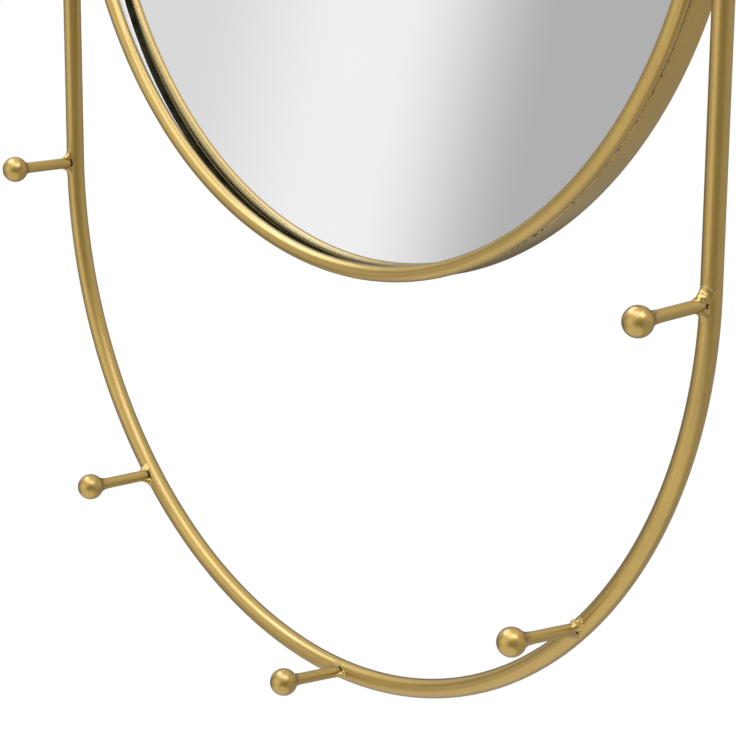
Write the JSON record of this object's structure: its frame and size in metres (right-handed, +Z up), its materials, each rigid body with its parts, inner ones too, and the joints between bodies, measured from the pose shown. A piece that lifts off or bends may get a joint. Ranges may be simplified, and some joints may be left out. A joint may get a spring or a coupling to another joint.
{
  "type": "wall mirror with hooks",
  "caption": "Round wall mirror in a rolled metal ring, nested in the top of a long racetrack loop of bent tube with ball-ended pegs welded along its lower bow.",
  "frame": {"origin": "on the wall plane, halfway between the heads of the two keyhole hangers", "axes": "+X to the viewer's right, +Y into the wall, +Z up; the mirror faces -Y"},
  "size_m": [0.5002, 0.0701, 0.708],
  "materials": {
    "gold_paint": "satin gold paint with a fine metallic grain, over welded steel",
    "mirror_silver": "clear silvered float glass with a ground arris",
    "backing_fibreboard": "brown pressed fibreboard, matt",
    "bumper_rubber": "moulded dark grey rubber, matt"
  },
  "bodies": {
    "root": {"outer_loop": "gold_paint", "peg_stem_1": "gold_paint", "peg_stem_2": "gold_paint", "peg_stem_3": "gold_paint", "peg_stem_4": "gold_paint", "peg_stem_5": "gold_paint", "peg_ball_1": "gold_paint", "peg_ball_2": "gold_paint", "peg_ball_3": "gold_paint", "peg_ball_4": "gold_paint", "peg_ball_5": "gold_paint", "peg_weld_1": "gold_paint", "peg_weld_2": "gold_paint", "peg_weld_3": "gold_paint", "peg_weld_4": "gold_paint", "peg_weld_5": "gold_paint", "ring_bead": "gold_paint", "ring_band": "gold_paint", "bead_tacks": "gold_paint", "ring_weld_left": "gold_paint", "ring_weld_upper_left": "gold_paint", "ring_weld_top": "gold_paint", "ring_weld_upper_right": "gold_paint", "ring_weld_right": "gold_paint", "mirror_glass": "mirror_silver", "backing_board": "backing_fibreboard", "retaining_tabs": "gold_paint", "hanger_left": "gold_paint", "hanger_right": "gold_paint", "wall_bumpers": "bumper_rubber"}
  },
  "joints": []
}
